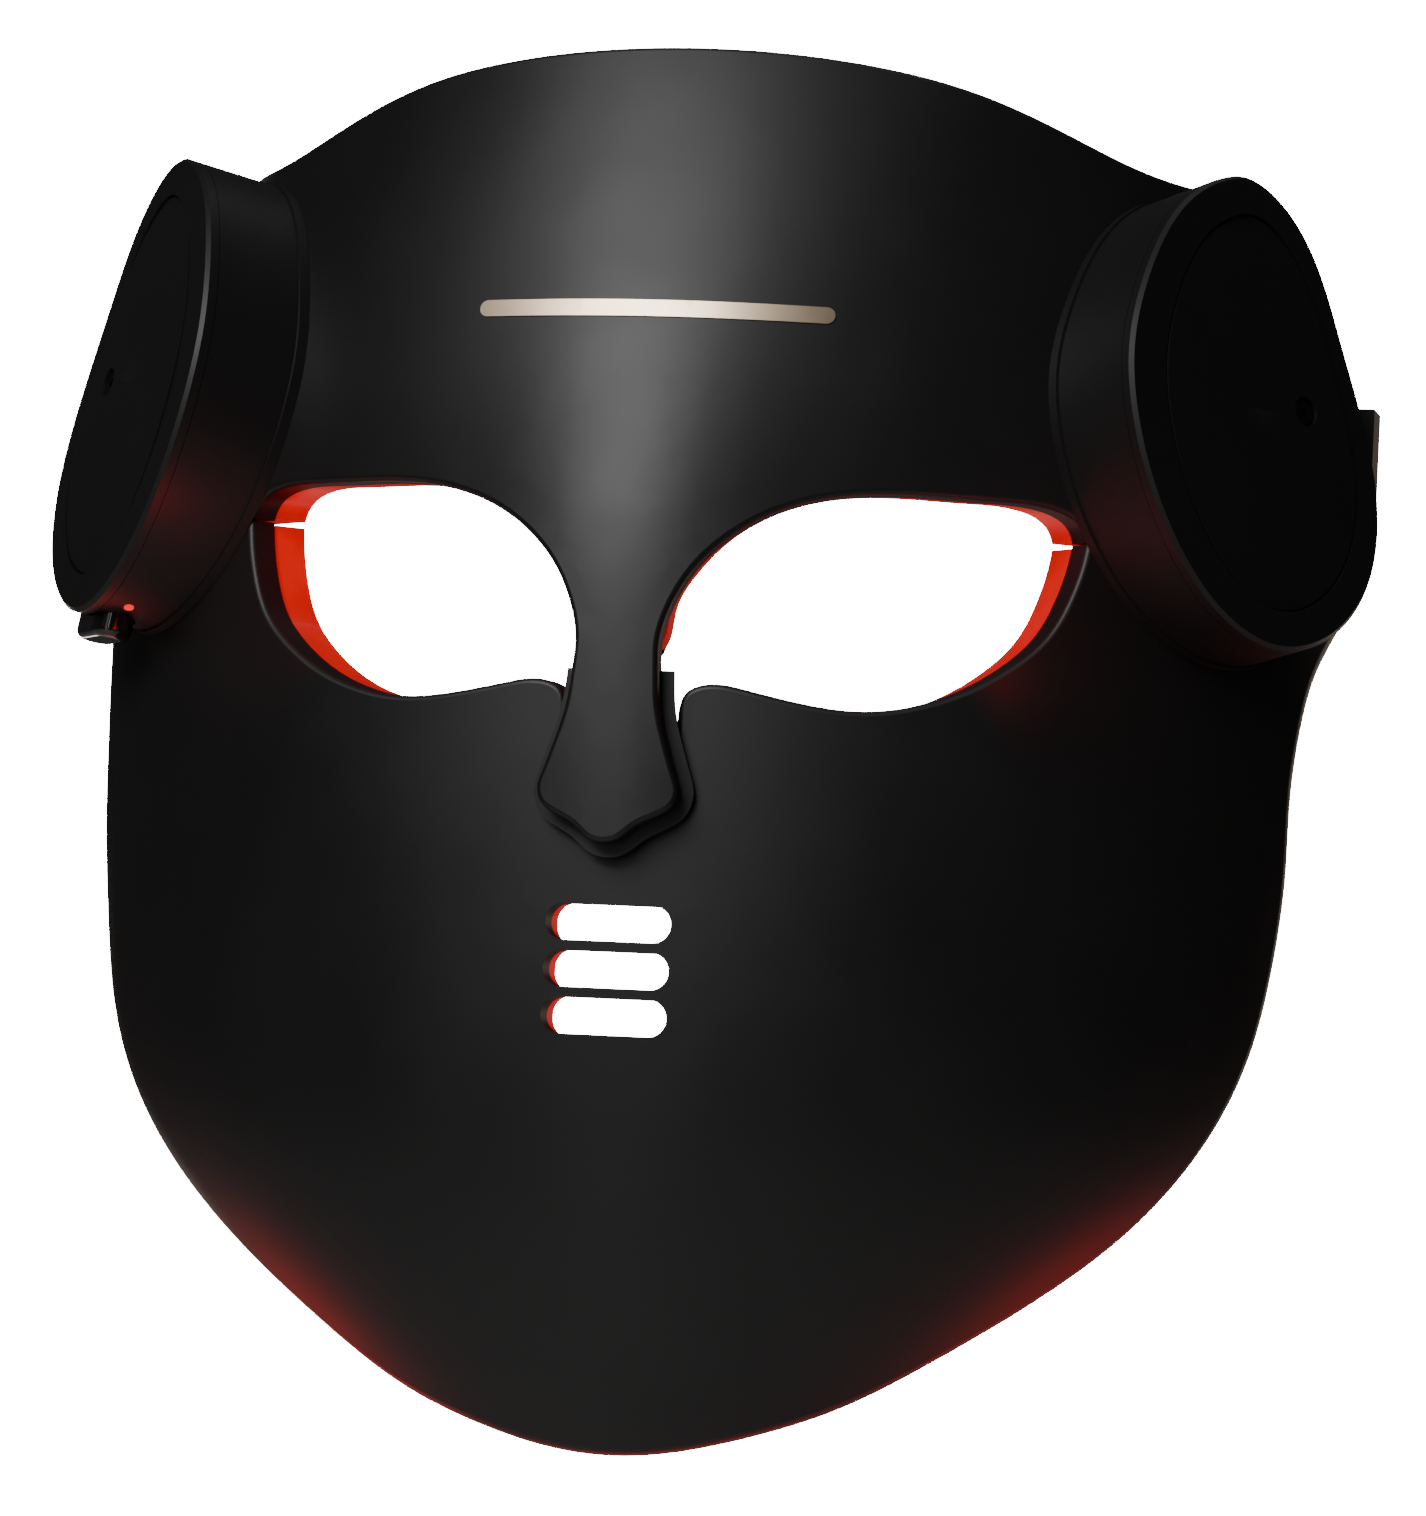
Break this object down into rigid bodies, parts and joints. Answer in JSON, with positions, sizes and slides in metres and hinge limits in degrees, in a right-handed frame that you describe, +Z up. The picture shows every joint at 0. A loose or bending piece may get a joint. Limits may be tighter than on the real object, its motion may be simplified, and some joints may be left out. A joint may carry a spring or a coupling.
{
  "type": "led face mask",
  "caption": "Rigid light-therapy face mask with open eyes, a nose tongue over the lower panel, mouth slots, egg-shaped temple pods and strap loops.",
  "frame": {"origin": "the nose pad's seat on the bridge of the wearer's nose, on the mask's middle plane", "axes": "+X to the right as a viewer faces the mask's front, +Y back towards the wearer's head, +Z up"},
  "size_m": [0.2464, 0.12, 0.2497],
  "materials": {
    "shell_black": "soft satin moulded",
    "panel_black": "soft satin moulded",
    "inner_black": "fine moulded grain",
    "loop_black": "moulded nylon",
    "liner_red": "translucent, lit from inside",
    "board": "white solder mask",
    "emitter": "lit red resin",
    "silicone": "soft silicone",
    "foil": "champagne foil",
    "battery_wrap": "heat-shrink wrap",
    "chip": "moulded epoxy",
    "button_gloss": "polished",
    "indicator": "clear red",
    "steel": "zinc plated",
    "screw_black": "black oxide",
    "wire": "silicone sleeve"
  },
  "bodies": {
    "mask": {"upper_shell": "shell_black", "lower_shell": "shell_black", "upper_liner": "liner_red", "lower_liner": "liner_red", "upper_led_board": "board", "lower_led_board": "board", "upper_leds": "emitter", "lower_leds": "emitter", "nose_backplate": "inner_black", "nose_pad": "silicone", "forehead_pad": "silicone", "chin_pad": "silicone", "forehead_badge": "foil", "battery": "battery_wrap", "control_board": "board", "board_chips": "chip", "button_switch": "chip", "status_light": "indicator", "charging_socket": "steel", "left_pod_flange": "shell_black", "left_pod_housing": "shell_black", "left_pod_cover": "shell_black", "left_pod_panel": "panel_black", "left_panel_screw": "screw_black", "left_pod_screws": "steel", "left_harness": "wire", "left_loop_bracket": "inner_black", "left_loop_pin": "steel", "right_pod_flange": "shell_black", "right_pod_housing": "shell_black", "right_pod_cover": "shell_black", "right_pod_panel": "panel_black", "right_panel_screw": "screw_black", "right_pod_screws": "steel", "right_harness": "wire", "right_loop_bracket": "inner_black", "right_loop_pin": "steel"},
    "power_button": {"power_button": "button_gloss"},
    "left_loop": {"left_strap_loop": "loop_black"},
    "right_loop": {"right_strap_loop": "loop_black"}
  },
  "joints": [
    {"name": "power_press", "type": "slide", "parent": "mask", "child": "power_button", "axis": [0.1368, 0.1069, 0.9848], "range_m": [0, 0.0008], "stiffness_N_per_m": 1500},
    {"name": "left_loop_swing", "type": "hinge", "parent": "mask", "child": "left_loop", "pos_m": [-0.11108, 0.085, 0.042], "axis": [0, 0, 1], "range_deg": [-40, 50]},
    {"name": "right_loop_swing", "type": "hinge", "parent": "mask", "child": "right_loop", "pos_m": [0.11108, 0.085, 0.042], "axis": [0, 0, 1], "range_deg": [-50, 40]}
  ]
}
